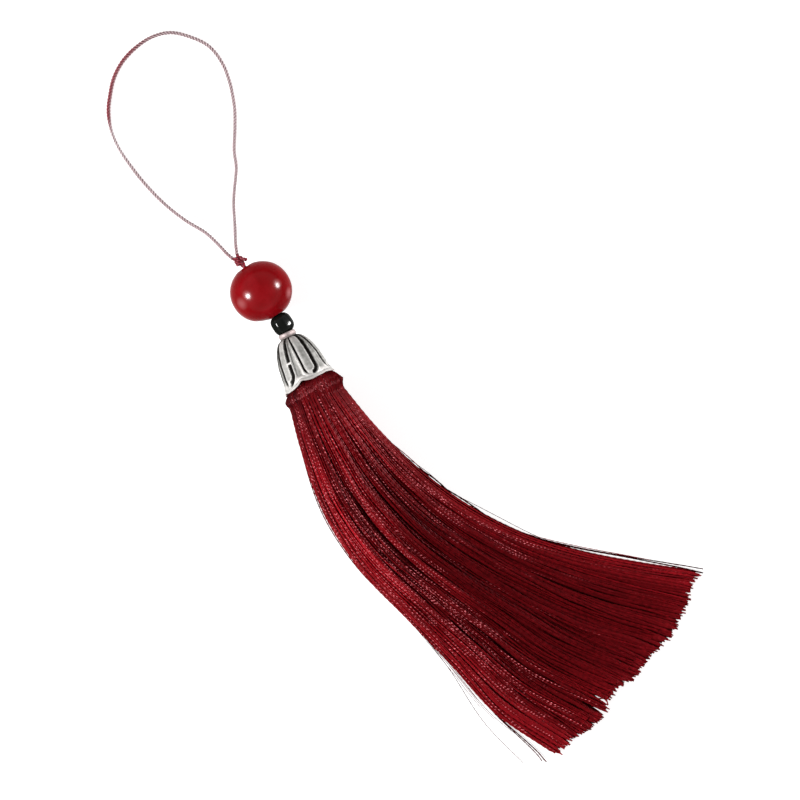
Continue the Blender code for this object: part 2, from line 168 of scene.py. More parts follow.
LOOP_ROUTE = (
    (-0.05768, 0.00490, 0.00590), (-0.05939, 0.00613, 0.00492), (-0.06222, 0.00864, 0.00342),
    (-0.06456, 0.01062, 0.00240), (-0.06673, 0.01279, 0.00162), (-0.06990, 0.01648, 0.00082),
    (-0.07266, 0.01864, 0.00050), (-0.07578, 0.02196, 0.00042), (-0.07862, 0.02465, 0.00042),
    (-0.08261, 0.02735, 0.00042), (-0.08646, 0.02901, 0.00042), (-0.09041, 0.02941, 0.00042),
    (-0.09408, 0.02819, 0.00042), (-0.09741, 0.02608, 0.00042), (-0.09931, 0.02309, 0.00042),
    (-0.10013, 0.01956, 0.00042), (-0.10006, 0.01568, 0.00042), (-0.09897, 0.01214, 0.00042),
    (-0.09707, 0.00915, 0.00042), (-0.09510, 0.00677, 0.00042), (-0.09231, 0.00467, 0.00042),
    (-0.08905, 0.00331, 0.00042), (-0.08524, 0.00249, 0.00042), (-0.08022, 0.00190, 0.00044),
    (-0.07491, 0.00184, 0.00082), (-0.06973, 0.00246, 0.00170), (-0.06517, 0.00353, 0.00300),
    (-0.06149, 0.00368, 0.00425), (-0.05932, 0.00361, 0.00516), (-0.05767, 0.00374, 0.00590),
)


def read_off(rows, at):
    """What a table of places and values gives at a place, on straight lines between its rows."""
    return np.interp(at, *zip(*rows))


def smooth_rows(rows, at):
    """Rows of numbers read at places counted in rows, on a smooth curve through them."""
    rows = np.asarray(rows, float)
    at = np.asarray(at, float)
    index = np.clip(at.astype(int), 0, len(rows) - 2)
    part = (at - index)[..., None]
    before, start = rows[np.maximum(index - 1, 0)], rows[index]
    end, after = rows[index + 1], rows[np.minimum(index + 2, len(rows) - 1)]
    rise, fall = (end - before) / 2, (after - start) / 2
    bend = 3 * (end - start) - 2 * rise - fall
    unbend = 2 * (start - end) + rise + fall
    return start + rise * part + bend * part**2 + unbend * part**3


def lengths_along(points):
    return np.concatenate([[0.0], np.cumsum(np.linalg.norm(np.diff(points, axis=0), axis=1))])


def read_along(points, walked, wanted):
    """The points of a line at the wanted lengths along it."""
    return np.stack([np.interp(wanted, walked, points[:, axis]) for axis in range(3)], axis=1)


def even_points(route, step):
    """Points a step apart along the smooth curve through the route."""
    fine = smooth_rows(route, np.linspace(0, len(route) - 1, ROUTE_FINENESS * (len(route) - 1) + 1))
    walked = lengths_along(fine)
    return read_along(fine, walked, np.linspace(0, walked[-1], max(2, round(walked[-1] / step)) + 1))


def unit(rows):
    """The rows' directions, each of length 1."""
    return rows / np.linalg.norm(rows, axis=1)[:, None]


def frames_along(points):
    """Two directions square to the curve at each point, carried along it without twist."""
    forward = unit(np.gradient(points, axis=0))
    side = np.cross((0, 0, 1.0), forward[0])
    sides = []
    for direction in forward:
        side = side - direction * side.dot(direction)
        side /= np.linalg.norm(side)
        sides.append(side)
    sides = np.array(sides)
    return sides, np.cross(forward, sides)


def tube_faces(rings, corners, first=0):
    """Quads round a tube of rings, and a face on each end, all pointing out."""
    near = np.arange(rings - 1)[:, None] * corners
    corner = np.arange(corners)[None, :]
    following = (corner + 1) % corners
    far = near + corners
    quads = np.stack([near + corner, near + following, far + following, far + corner], -1)
    faces = (quads.reshape(-1, 4) + first).tolist()
    faces.append(list(range(first + corners - 1, first - 1, -1)))
    faces.append(list(range(first + (rings - 1) * corners, first + rings * corners)))
    return faces


def new_piece(name, points, faces, finish):
    """A smooth mesh piece from its points and faces."""
    mesh = bpy.data.meshes.new(name)
    mesh.from_pydata([tuple(p) for p in points], [], faces)
    mesh.shade_smooth()
    mesh.materials.append(finish)
    piece = bpy.data.objects.new(name, mesh)
    bpy.context.scene.collection.objects.link(piece)
    return piece


def paint_points(piece, name, values):
    """A value at each of the piece's points, for its material to read."""
    paint = piece.data.attributes.new(name, "FLOAT", "POINT")
    paint.data.foreach_set("value", np.asarray(values, np.float32))


def twisted_cord(name, points, radius, finish, plies=CORD_PLIES, lay=CORD_LAY, taper=None):
    """A laid cord along the points: a lobed section that turns once in each lay."""
    sides, ups = frames_along(points)
    walked = lengths_along(points)
    around = np.linspace(0, math.tau, CORD_CORNERS, endpoint=False)
    lobes = 1 - PLY_DEPTH * np.abs(np.sin(plies * around / 2 + math.pi / 2)) ** 3
    twisted = around[None, :] + (math.tau * walked / lay)[:, None]
    reach = np.tile(radius * lobes, (len(points), 1))
    if taper is not None:
        reach = reach * taper(walked / walked[-1])[:, None]
    place = points[:, None, :] + sides[:, None, :] * (reach * np.cos(twisted))[..., None]
    place = place + ups[:, None, :] * (reach * np.sin(twisted))[..., None]
    cord = new_piece(name, place.reshape(-1, 3), tube_faces(len(points), CORD_CORNERS), finish)
    # How deep each point lies between the plies; the material turns it into painted shade in the crevices and
    # painted light on the crests.
    paint_points(cord, "crevice", np.tile((1 - lobes) / PLY_DEPTH, len(points)))
    return cord


def painted(tree, name):
    return add_node(tree, "ShaderNodeAttribute", attribute_name=name).outputs["Fac"]


def calculated(operation, first, *others, clamp=False):
    """The result of a step of arithmetic on a socket and other sockets or numbers."""
    values = dict(enumerate((first, *others)))
    node = add_node(first.id_data, "ShaderNodeMath", values, operation=operation, use_clamp=clamp)
    return node.outputs["Value"]


def unevenly_painted(name, pattern, amount):
    """A painted value that a pattern raises and lowers, kept between 0 and 1."""
    uneven = calculated("MULTIPLY_ADD", pattern, amount, -amount / 2)
    return calculated("ADD", painted(pattern.id_data, name), uneven, clamp=True)


def mixed(share, first, second, **settings):
    """The first colour with a share of the second."""
    colours = {"Fac": share, "Color1": first, "Color2": second}
    return add_node(share.id_data, "ShaderNodeMixRGB", colours, **settings).outputs["Color"]


def bumped(pattern, strength, height):
    """The surface's slope where a pattern stands up from it by up to its height."""
    inputs = {"Height": pattern, "Strength": strength, "Distance": height}
    return add_node(pattern.id_data, "ShaderNodeBump", inputs).outputs["Normal"]


cord_red, tree, shader = new_material("twisted_red_cord", {
    "Roughness": 0.34, "Specular IOR Level": 0.3, "Specular Tint": (1.0, 0.62, 0.66, 1.0)})
fibre = grain(tree, Scale=2600.0, Detail=3.0)
# Painted shade in the crevices between the plies, made uneven by the fibres.
depth = unevenly_painted("crevice", fibre, 0.5)
give(shader, {"Base Color": mixed(painted(tree, "paleness_and_side_light"), ramp(depth, DEEP_RED), ramp(depth, PALE_ROSE)),
              "Normal": bumped(fibre, 0.35, 0.08 * MM)})

loop_points = even_points(LOOP_ROUTE, CORD_STEP)
loop_walked = lengths_along(loop_points)
hanging_cord = twisted_cord("hanging_cord", loop_points, CORD_DIAMETER / 2, cord_red,
                            taper=lambda share: read_off(FULLNESS, share))
# The cord is made paler along parts of the loop, and given painted light on the side that faces the loop's
# inside.
outward = unit(loop_points - loop_points.mean(axis=0))
surface = np.array([point.co for point in hanging_cord.data.vertices]).reshape(len(loop_points), -1, 3)
inner = -((surface - loop_points[:, None]) * outward[:, None]).sum(axis=2) / (CORD_DIAMETER / 2)
paleness_and_side_light = read_off(CORD_PALENESS, loop_walked / loop_walked[-1])[:, None]
paleness_and_side_light = paleness_and_side_light + INNER_SIDE_LIGHT * np.clip(inner, 0, 1) * np.clip(1 - paleness_and_side_light, 0, 1)
paint_points(hanging_cord, "paleness_and_side_light", paleness_and_side_light.ravel())
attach(hanging_cord, "root")
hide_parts("hanging_loop")

# ---- Knot and string ----
# The same cord, tied over the bead: its turns bind the loop's two ends, its cut end stands out beside them,
# and doubled it runs down through the bead, the spacer and the cap's small end into the tassel's head.

STRING_HEIGHT = 5.85 * MM  # of the string's line above the table
STRING_RADIUS = 0.6 * MM
STRING_PLIES = 2
STRING_LAY = 3.0 * MM
STRING_STEP = 0.3 * MM
STRING_ROUTE = (  # from the knot's middle to the head's top
    (-56.53, 4.29, 5.85), (-55.35, 4.23, 5.85), (-49.50, 3.06, 5.85), (-43.87, 1.97, 5.85),
    (-42.12, 1.56, 5.85), (-40.35, 0.85, 5.85), (-38.62, 0.21, 5.85),
)
KNOT_AT = (-56.62, 4.22)
KNOT_TURN = -14.0
KNOT_WIND_RADIUS = 0.58 * MM
KNOT_CORD_RADIUS = 0.38 * MM
KNOT_TURNS = 2.6
KNOT_TURN_STEPS = 18
KNOT_PITCH = 0.58 * MM
KNOT_SLANT = 0.28 * KNOT_WIND_RADIUS
KNOT_START = 0.6  # angle at which its first turn begins
LEG_BEND = 0.6  # share of the way from the loop's ends to the knot's middle
CUT_END = ((-56.95, 4.95, 6.35), (-56.30, 5.05, 6.62), (-55.95, 5.25, 6.55), (-55.62, 5.52, 6.35))
CUT_END_TAPER = ((0.0, 1.0), (0.75, 1.0), (0.93, 1.12), (1.0, 0.75))  # fluffed out a little, rounded off


def plan_frame(at, turn):
    """The matrix that lays a piece made about +X down at its place on the string, turned in plan."""
    place = Matrix.Translation((at[0] * MM, at[1] * MM, STRING_HEIGHT))
    return place @ Matrix.Rotation(math.radians(turn), 4, "Z")


def join(pieces, name):
    bpy.ops.object.select_all(action="DESELECT")
    for piece in pieces:
        piece.select_set(True)
    bpy.context.view_layer.objects.active = pieces[0]
    bpy.ops.object.join()
    pieces[0].name = name
    pieces[0].data.name = name
    return pieces[0]


winding = []
to_knot = plan_frame(KNOT_AT, KNOT_TURN)
for step in range(int(KNOT_TURNS * KNOT_TURN_STEPS) + 1):
    turn = math.tau * step / KNOT_TURN_STEPS
    along = (step / KNOT_TURN_STEPS - KNOT_TURNS / 2) * KNOT_PITCH + KNOT_SLANT * math.cos(turn)
    sideways = KNOT_WIND_RADIUS * math.cos(turn + KNOT_START)
    upward = KNOT_WIND_RADIUS * math.sin(turn + KNOT_START)
    winding.append(tuple(to_knot @ Vector((along, sideways, upward))))
string_points = np.array(STRING_ROUTE) * MM
knot_parts = [
    twisted_cord("knot_turns", even_points(winding, CORD_STEP), KNOT_CORD_RADIUS, cord_red),
    twisted_cord("cut_end", even_points(np.array(CUT_END) * MM, CORD_STEP), KNOT_CORD_RADIUS, cord_red,
                 taper=lambda share: read_off(CUT_END_TAPER, share)),
    twisted_cord("string", even_points(string_points, STRING_STEP), STRING_RADIUS, cord_red,
                 plies=STRING_PLIES, lay=STRING_LAY),
]
for index, end in enumerate((LOOP_ROUTE[0], LOOP_ROUTE[-1])):
    inside = Vector(end).lerp(Vector(STRING_ROUTE[0]) * MM, LEG_BEND)
    inward = even_points([end, tuple(inside), tuple(Vector(STRING_ROUTE[1]) * MM)], CORD_STEP)
    knot_parts.append(twisted_cord(f"leg_{index}", inward, KNOT_CORD_RADIUS, cord_red))
knot = join(knot_parts, "tied_knot")
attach(knot, "root")
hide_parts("knot")

# ---- Red bead ----
# A polished round bead of red stone, turned on a lathe, drilled along its length and lightly chamfered round
# the hole. It rests on the table, where it is rubbed a little flat.

BEAD_AT = (-49.43, 3.11)
BEAD_TURN = -11.0
BEAD_RADIUS = 6.0 * MM
BEAD_HALF_LENGTH = 5.74 * MM
BEAD_FULLNESS = 2.05
BEAD_BORE = 1.0 * MM
BEAD_SEAT = 1.9 * MM  # radius of the countersink at each end of the bore
BEAD_SEAT_DEPTH = 0.45 * MM
BEAD_STEPS = 72  # along its outline
BEAD_SIDES = 128
BEAD_FLAT = (0.82, -0.57)  # direction in plan of a spot where the stone was ground a little flat
BEAD_FLAT_OUT = 5.20 * MM
BEAD_FLAT_DEPTH = 0.5  # millimetres ground off where it reached 1 mm further
BEAD_REDS = ((0.28, (0.150, 0.0008, 0.002)), (0.52, (0.187, 0.0012, 0.003)), (0.78, (0.235, 0.0045, 0.008)))
# The pink of the bead's painted reflections.
BEAD_REFLECTION_PINK = (0.78, 0.36, 0.37, 1.0)
BEAD_PAINTED_REFLECTIONS = (  # painted reflections: middle of each pale patch in millimetres, how far it reaches, how pale it is; the first two are the white table seen in the stone, the last two are halos round the lamps' highlights
    ((-50.2, -1.25, 10.1), 1.7, 0.17),
    ((-45.2, 6.8, 8.4), 1.5, 0.27),
    ((-48.0, 6.5, 10.7), 1.25, 0.20),
    ((-50.7, 0.65, 11.3), 1.1, 0.17),
)


def bead_outline(radius, half_length, fullness, bore, steps):
    """The outline of a bored bead: round its outside from one end of the bore to the other."""
    first = math.asin((bore / radius) ** (fullness / 2))
    outline = []
    for step in range(steps + 1):
        angle = first + (math.pi - 2 * first) * step / steps
        along = math.copysign(abs(math.cos(angle)) ** (2 / fullness), math.cos(angle))
        outline.append((half_length * along, radius * math.sin(angle) ** (2 / fullness)))
    return outline


def turned(name, outline, sides, finish):
    """A piece turned about +X: a ring of points is shaped to the outline and spun right round."""
    bpy.ops.object.select_all(action="DESELECT")
    bpy.ops.mesh.primitive_circle_add(vertices=len(outline), radius=MM, location=(0, 0, 0))
    piece = bpy.context.object
    piece.name = piece.data.name = name
    for point, (along, radius) in zip(piece.data.vertices, outline):
        point.co = (along, 0.0, radius)
    bpy.ops.object.mode_set(mode="EDIT")
    bpy.ops.mesh.select_all(action="SELECT")
    bpy.ops.mesh.spin(steps=sides, angle=math.tau, center=(0, 0, 0), axis=(1, 0, 0))
    bpy.ops.mesh.select_all(action="SELECT")
    bpy.ops.mesh.remove_doubles(threshold=1e-7)
    bpy.ops.mesh.normals_make_consistent(inside=False)
    bpy.ops.object.mode_set(mode="OBJECT")
    bpy.ops.object.shade_smooth()
    piece.data.materials.clear()
    piece.data.materials.append(finish)
    return piece


def settle(piece, at, turn):
    """Lays a piece made about +X down in its place, with its own origin left at the world's."""
    piece.data.transform(plan_frame(at, turn))
    piece.data.update()


def gloss(tree, stops):
    """How strongly a surface shines, from where it faces the eye to where it turns away."""
    return ramp(add_node(tree, "ShaderNodeLayerWeight", {"Blend": 0.5}).outputs["Facing"], stops)


bead_red, tree, shader = new_material("glossy_red_bead", {"Roughness": 0.19})
stone = ramp(grain(tree, Scale=170.0, Detail=4.0, Roughness=0.6, Distortion=0.8), BEAD_REDS)
inside_bead = add_node(tree, "ShaderNodeTexCoord").outputs["Object"]
# Painted reflections: pale patches mixed into the stone's colour where the table and the lamps shine in it.
for middle, reach, reflection_strength in BEAD_PAINTED_REFLECTIONS:
    places = {0: inside_bead, 1: [value * MM for value in middle]}
    away = add_node(tree, "ShaderNodeVectorMath", places, operation="DISTANCE").outputs["Value"]
    fading = {"Value": away, "From Min": reach * MM, "From Max": 0.0, "To Max": reflection_strength}
    near = add_node(tree, "ShaderNodeMapRange", fading, interpolation_type="SMOOTHSTEP").outputs["Result"]
    stone = mixed(near, stone, BEAD_REFLECTION_PINK)
give(shader, {"Base Color": stone, "Specular IOR Level": gloss(tree, ((0.16, 0.30), (0.28, 0.02)))})

outside = bead_outline(BEAD_RADIUS, BEAD_HALF_LENGTH, BEAD_FULLNESS, BEAD_SEAT, BEAD_STEPS)
low_seat = (outside[0][0] - BEAD_SEAT_DEPTH, BEAD_BORE)
high_seat = (outside[-1][0] + BEAD_SEAT_DEPTH, BEAD_BORE)
red_bead = turned("stone_bead", [low_seat] + outside + [high_seat], BEAD_SIDES, bead_red)
settle(red_bead, BEAD_AT, BEAD_TURN)
for point in red_bead.data.vertices:
    point.co.z = max(point.co.z, 0.0)
    out = (point.co.x - BEAD_AT[0] * MM) * BEAD_FLAT[0] + (point.co.y - BEAD_AT[1] * MM) * BEAD_FLAT[1]
    back = BEAD_FLAT_DEPTH * max(out - BEAD_FLAT_OUT, 0.0) ** 2 / MM
    point.co.x -= back * BEAD_FLAT[0]
    point.co.y -= back * BEAD_FLAT[1]
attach(red_bead, "root")
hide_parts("red_bead")

# ---- Black spacer ----
# A small barrel of black glass, pressed with soft flats round its side and fire-polished. It is threaded on
# the string between the bead and the cap.

SPACER_AT = (-42.17, 1.57)
SPACER_TURN = -12.0
SPACER_RADIUS = 2.15 * MM
SPACER_HALF_LENGTH = 2.05 * MM
SPACER_FULLNESS = 2.7
SPACER_BORE = 0.92 * MM
SPACER_STEPS = 40
SPACER_SIDES = 72
SPACER_FLATS = 9
SPACER_FLAT_DEPTH = 0.050  # at a flat's middle, as a share of the radius
SPACER_FLAT_PHASE = 32.0  # degrees from straight up to a flat's middle
SPACER_FLAT_POWER = 6  # how closely the flats keep to its fullest part
JET_BLACKS = ((0.3, (0.002, 0.003, 0.002)), (0.7, (0.005, 0.006, 0.005)))

jet, tree, shader = new_material("glossy_black_glass", {"Roughness": 0.13, "IOR": 1.50})
give(shader, {"Base Color": ramp(grain(tree, Scale=600.0), JET_BLACKS),
              "Specular IOR Level": gloss(tree, ((0.20, 0.40), (0.32, 0.02)))})

barrel = bead_outline(SPACER_RADIUS, SPACER_HALF_LENGTH, SPACER_FULLNESS, SPACER_BORE, SPACER_STEPS)
black_spacer = turned("glass_spacer", barrel, SPACER_SIDES, jet)
flat_pitch = 360 / SPACER_FLATS
corner = math.cos(math.radians(flat_pitch / 2))
for point in black_spacer.data.vertices:
    radius = math.hypot(point.co.y, point.co.z)
    angle = math.degrees(math.atan2(point.co.y, point.co.z)) - SPACER_FLAT_PHASE
    offset = math.radians((angle + flat_pitch / 2) % flat_pitch - flat_pitch / 2)
    pressed = SPACER_FLAT_DEPTH * min(1.0, radius / SPACER_RADIUS) ** SPACER_FLAT_POWER
    shrink = 1 + pressed * (corner / math.cos(offset) - 1) / (1 - corner)
    point.co.y *= shrink
    point.co.z *= shrink
settle(black_spacer, SPACER_AT, SPACER_TURN)
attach(black_spacer, "root")
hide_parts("black_spacer")

# ---- Cap ----
# A cast cap of antiqued silver, a flower bell of six petals under a plain ring. The sunk line round each
# petal keeps its black oxide, and the ridges and the lip are rubbed bright.

RIM_AT = (-30.885, -2.505)
NECK_TURN = -19.95
CAP_OUTSIDE = (  # distance from the small end, radius
    (0.00, 1.58), (0.12, 1.72), (0.45, 1.76), (0.76, 1.72), (0.92, 1.60), (1.10, 1.88), (1.45, 2.48),
    (1.90, 2.90), (2.65, 3.38), (3.85, 3.88), (5.55, 4.37), (7.50, 4.65), (9.15, 4.93), (9.80, 5.13),
    (10.20, 5.34),
)
CAP_INSIDE = (
    (10.10, 4.60), (9.10, 4.04), (5.90, 3.56), (3.90, 3.12), (2.50, 2.45), (1.60, 0.95), (0.00, 0.95),
)
LIP = ((0.0, 0.0), (0.12, -0.12), (0.10, -0.34))  # its edge: how far past the last row, out from its radius
CAP_STEP = 0.09  # between its rings of points
CAP_SIDES = 252
PETALS = 6
PETAL_PITCH = 360 / PETALS
PETAL_PHASE = 17.8  # degrees from straight up to the nearest petal's middle
PETAL_WIDTH = ((1.2, 19.5), (2.7, 18.0), (5.6, 16.0), (7.5, 15.3), (9.3, 15.0))  # degrees to its groove
GROOVE_DEPTH = 0.30
GROOVE_FROM = 1.20
GROOVE_TO = 9.15
GROOVE_REACH = (0.248, 0.3224)  # half its width, on a petal's two sides
GROOVE_START = 0.66  # its width where it begins, as a share of the rest
RIDGE = (0.48, 0.22, 0.12)  # line raised outside a groove: distance from it, reach, height
INNER_RIDGE = (-0.46, 0.20, 0.06)
THROAT = (1.02, 0.20, 0.10)  # line sunk under the ring: place along the cap, reach, depth
CHANNEL = (9.72, 0.16, 0.07)  # line sunk above the lip
BETWEEN_DEPTH = 0.18  # of the hollows between the petals
PETAL_DEPTH = 0.03
RING_END = (0.70, 0.90)  # along the cap
OXIDE = {"groove": 0.97, "between": 0.42, "petal": 0.38, "throat": 0.62, "channel": 0.22, "ring": 0.20}
INSIDE_OXIDE = 0.55
LIP_OXIDE = 0.02
BRIDGED_PETAL = 5  # the casting left a bridge across its second groove
BRIDGE = (5.75, 0.26)  # place along the cap, half its width
RIM_NOTCHES = (0.10, 0.30, 0.40, 0.30, 0.35, 0.65)  # into the rim, after each petal in turn
NOTCH_REACH = 2.2
RIM_SLANT = (-0.42, 0.54)  # how far its edge is out of square, sideways and from top to bottom
SLANT_REACH = 3.0
SILVERS = (  # how black the metal is with oxide, its colour
    (0.0, (0.66, 0.64, 0.62)),
    (0.22, (0.50, 0.49, 0.475)),
    (0.45, (0.30, 0.295, 0.28)),
    (0.80, (0.024, 0.022, 0.020)),
    (1.0, (0.008, 0.007, 0.006)),
)
RED_PAINTED_REFLECTION = (1.0, 0.86, 0.87, 1.0)  # painted reflection: the silk's red, thrown back by the ring and the lip

silver, tree, shader = new_material("antique_silver", {
    "Metallic": 1.0, "Specular Tint": (0.70, 0.69, 0.68, 1.0)})
speck = grain(tree, Scale=1500.0, Detail=4.0)
dark = unevenly_painted("oxide", speck, 0.50)
silver_with_reflection = mixed(painted(tree, "silk_reflection_paint"), ramp(dark, SILVERS), RED_PAINTED_REFLECTION, blend_type="MULTIPLY")
give(shader, {"Base Color": silver_with_reflection,
              "Roughness": ramp(dark, ((0.0, 0.70), (0.5, 0.68), (1.0, 0.70))),
              "Normal": bumped(speck, 0.25, 0.06 * MM)})


def petal_offset(angle):
    """Degrees from the nearest petal's middle, for an angle counted from straight up."""
    return (angle - PETAL_PHASE + PETAL_PITCH / 2) % PETAL_PITCH - PETAL_PITCH / 2


def eased(value, low, high):
    """0 below low, 1 above high, smooth between."""
    share = min(max((value - low) / (high - low), 0.0), 1.0)
    return share * share * (3 - 2 * share)


def hump(value, middle, reach, power=2):
    """1 at the middle, and down to nothing on both sides past its reach."""
    return np.exp(-(((value - middle) / reach) ** power))


def groove_away(along, angle):
    """Distance from the middle of the sunk line round the nearest petal, less than 0 inside the petal."""
    radius = read_off(CAP_OUTSIDE, along)
    half = math.radians(read_off(PETAL_WIDTH, along)) * radius
    across = math.radians(abs(petal_offset(angle))) * radius
    foot = GROOVE_TO - half
    return across - half if along < foot else math.hypot(across, along - foot) - half


def groove_fill(along, angle, away):
    """How fully the sunk line is cut here: it narrows at its start, and stops short at the petal's foot."""
    offset = petal_offset(angle)
    reach = GROOVE_REACH[0 if offset < 0 else 1] * (1 + 1.2 * math.sin(math.radians(angle)) ** 2)
    reach *= GROOVE_START + (1 - GROOVE_START) * eased(along, 1.2, 3.2)
    groove = hump(away, 0.0, reach, 4)
    groove *= 1 - hump(offset, -5.0, 5.5, 4) * eased(along, 7.4, 8.4)
    if int((angle - PETAL_PHASE + PETAL_PITCH / 2) % 360 / PETAL_PITCH) == BRIDGED_PETAL and offset > 0:
        groove *= 1 - hump(along, *BRIDGE, 4)
    return groove


def cap_relief(along, angle):
    """How far the surface is sunk here in millimetres, and how much oxide it keeps."""
    begin = eased(along, GROOVE_FROM - 0.25, GROOVE_FROM + 0.15)
    away = groove_away(along, angle)
    groove = groove_fill(along, angle, away) * begin
    hollow = 25.5 - 3.0 * eased(along, 3.0, 8.8)
    between = eased(abs(petal_offset(angle)), hollow - 3, hollow + 3) * begin * (1 - eased(along, 8.5, 9.3))
    petal = eased(-away, 0.12, 0.65) * begin * (1 - 0.5 * eased(along, 8.0, 9.0))
    ridge = hump(away, *RIDGE[:2]) * begin
    inner = hump(away, *INNER_RIDGE[:2]) * begin
    throat = hump(along, *THROAT[:2])
    channel = hump(along, *CHANNEL[:2])
    sunk = GROOVE_DEPTH * groove + BETWEEN_DEPTH * between + PETAL_DEPTH * petal
    sunk += THROAT[2] * throat + CHANNEL[2] * channel - RIDGE[2] * ridge - INNER_RIDGE[2] * inner
    oxide = OXIDE["petal"] * petal * (1 - 0.8 * inner) * (0.45 + 0.55 * eased(along, 1.8, 4.0))
    oxide += OXIDE["groove"] * groove + OXIDE["between"] * between + OXIDE["throat"] * throat
    oxide += OXIDE["channel"] * channel + OXIDE["ring"] * (1 - eased(along, *RING_END))
    return sunk, min(oxide, 1.0)


def rim_notch(angle):
    depth = RIM_NOTCHES[int((angle - PETAL_PHASE) % 360 / PETAL_PITCH)]
    rise = abs(math.sin(math.radians(petal_offset(angle) * PETALS / 2)))
    return depth * (0.55 * rise**2.6 + 0.45 * rise**12)


def rim_slant(angle):
    turned_by = math.radians(angle)
    return RIM_SLANT[0] * math.sin(turned_by) + RIM_SLANT[1] * (1 - math.cos(turned_by))


cap_length, rim_radius = CAP_OUTSIDE[-1]
outside = [(along, read_off(CAP_OUTSIDE, along)) for along in np.arange(0, cap_length, CAP_STEP)]
outside += [(cap_length + past, rim_radius + out) for past, out in LIP]
wall = [(along * MM, radius * MM) for along, radius in outside + list(CAP_INSIDE)]
cap = turned("petal_cap", wall, CAP_SIDES, silver)
oxides, silk_reflections = [], []
for point in cap.data.vertices:
    along = point.co.x / MM
    radius = math.hypot(point.co.y, point.co.z) / MM
    angle = math.degrees(math.atan2(point.co.y, point.co.z))
    oxide = INSIDE_OXIDE
    if radius > read_off(CAP_OUTSIDE, along) - 0.06 and along < cap_length:
        sunk, oxide = cap_relief(along, angle)
        point.co.y *= (radius - sunk) / radius
        point.co.z *= (radius - sunk) / radius
    elif along >= cap_length:
        oxide = LIP_OXIDE
    point.co.x -= rim_notch(angle) * eased(along, cap_length - NOTCH_REACH, cap_length) * MM
    point.co.x += rim_slant(angle) * eased(along, cap_length - SLANT_REACH, cap_length) * MM
    oxides.append(oxide)
    # Painted reflection of the silk's red: full on the ring, fainter on the lip.
    silk_reflections.append(1 - eased(along, 0.85, 1.15) + 0.6 * eased(along, cap_length - 0.1, cap_length + 0.1))
paint_points(cap, "oxide", oxides)
paint_points(cap, "silk_reflection_paint", silk_reflections)
cap.data.transform(Matrix.Translation((-cap_length * MM, 0, 0)))
settle(cap, RIM_AT, NECK_TURN)
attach(cap, "root")
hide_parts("cap")

# ---- Folded head ----
# The skirt's threads are folded over the string's end and drawn up inside the cap. This is the middle
# of that fold, turned from its outline, which the outer threads cover.

HEAD_CORE = (  # distance from the rim, distance from the axis
    (-8.0, 0.7), (-7.5, 1.9), (-6.3, 2.6), (-4.4, 3.0), (-1.2, 3.3), (-0.2, 3.7), (0.5, 4.4), (1.4, 4.9),
    (2.2, 5.0), (2.8, 4.5), (6.0, 4.0), (10.0, 2.8), (13.0, 1.2), (13.6, 0.4),
)
HEAD_SIDES = 48
HEAD_TONE = 0.1
SILK_REDS = (  # how bright a thread lies, its colour
    (0.0, (0.022, 0.0009, 0.0015)),
    (0.35, (0.12, 0.0030, 0.0048)),
    (0.7, (0.28, 0.0070, 0.0120)),
    (1.0, (0.50, 0.018, 0.030)),
)
# The pale pink of the silk's painted highlights.
SILK_PAINTED_GLINT = (0.80, 0.20, 0.23, 1.0)


def wave(socket, stops):
    """A wave that repeats with each whole number, read through a ramp."""
    return ramp(calculated("SINE", calculated("MULTIPLY", socket, math.tau)), stops)


# The silk's own map runs round each thread in X and counts the turns of its plies in Y.
silk, tree, shader = new_material("red_silk", {"Roughness": 0.32, "Specular Tint": (1.0, 0.26, 0.30, 1.0)})
silk_mottle = grain(tree, Scale=1400.0, Detail=1.0)
wound = add_node(tree, "ShaderNodeUVMap", uv_map="plies").outputs["UV"]
parts = add_node(tree, "ShaderNodeSeparateXYZ", {"Vector": wound})
along_ply = calculated("ADD", parts.outputs["X"], parts.outputs["Y"])
# Painted highlights: where the glint paint and the mottle allow, the plies' crests are mixed toward a pale
# pink.
crest = calculated("MULTIPLY", wave(along_ply, ((0.20, 0.0), (0.85, 1.0))),
                   wave(parts.outputs["X"], ((0.50, 0.0), (0.92, 1.0))))
lustre = calculated("MULTIPLY", calculated("MULTIPLY", crest, painted(tree, "glint")),
                    ramp(silk_mottle, ((0.38, 0.12), (0.60, 1.0))))
give(shader, {"Base Color": mixed(lustre, ramp(unevenly_painted("tone", silk_mottle, 0.36), SILK_REDS), SILK_PAINTED_GLINT),
              "Specular IOR Level": gloss(tree, ((0.10, 0.09), (0.45, 0.015))),
              "Normal": bumped(crest, 0.15, 0.04 * MM)})

folded = [(along * MM, radius * MM) for along, radius in HEAD_CORE]
head_core = turned("folded_head", folded, HEAD_SIDES, silk)
settle(head_core, RIM_AT, NECK_TURN)
paint_points(head_core, "tone", [HEAD_TONE] * len(head_core.data.vertices))
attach(head_core, "root")
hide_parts("skirt")

# ---- Skirt ----
# Hundreds of two-ply silk threads. The outer ones come out from under the rim over the fold's low collar, and
# all of them fan out over the table in locks, wander a little beside each other, and are trimmed at the end.

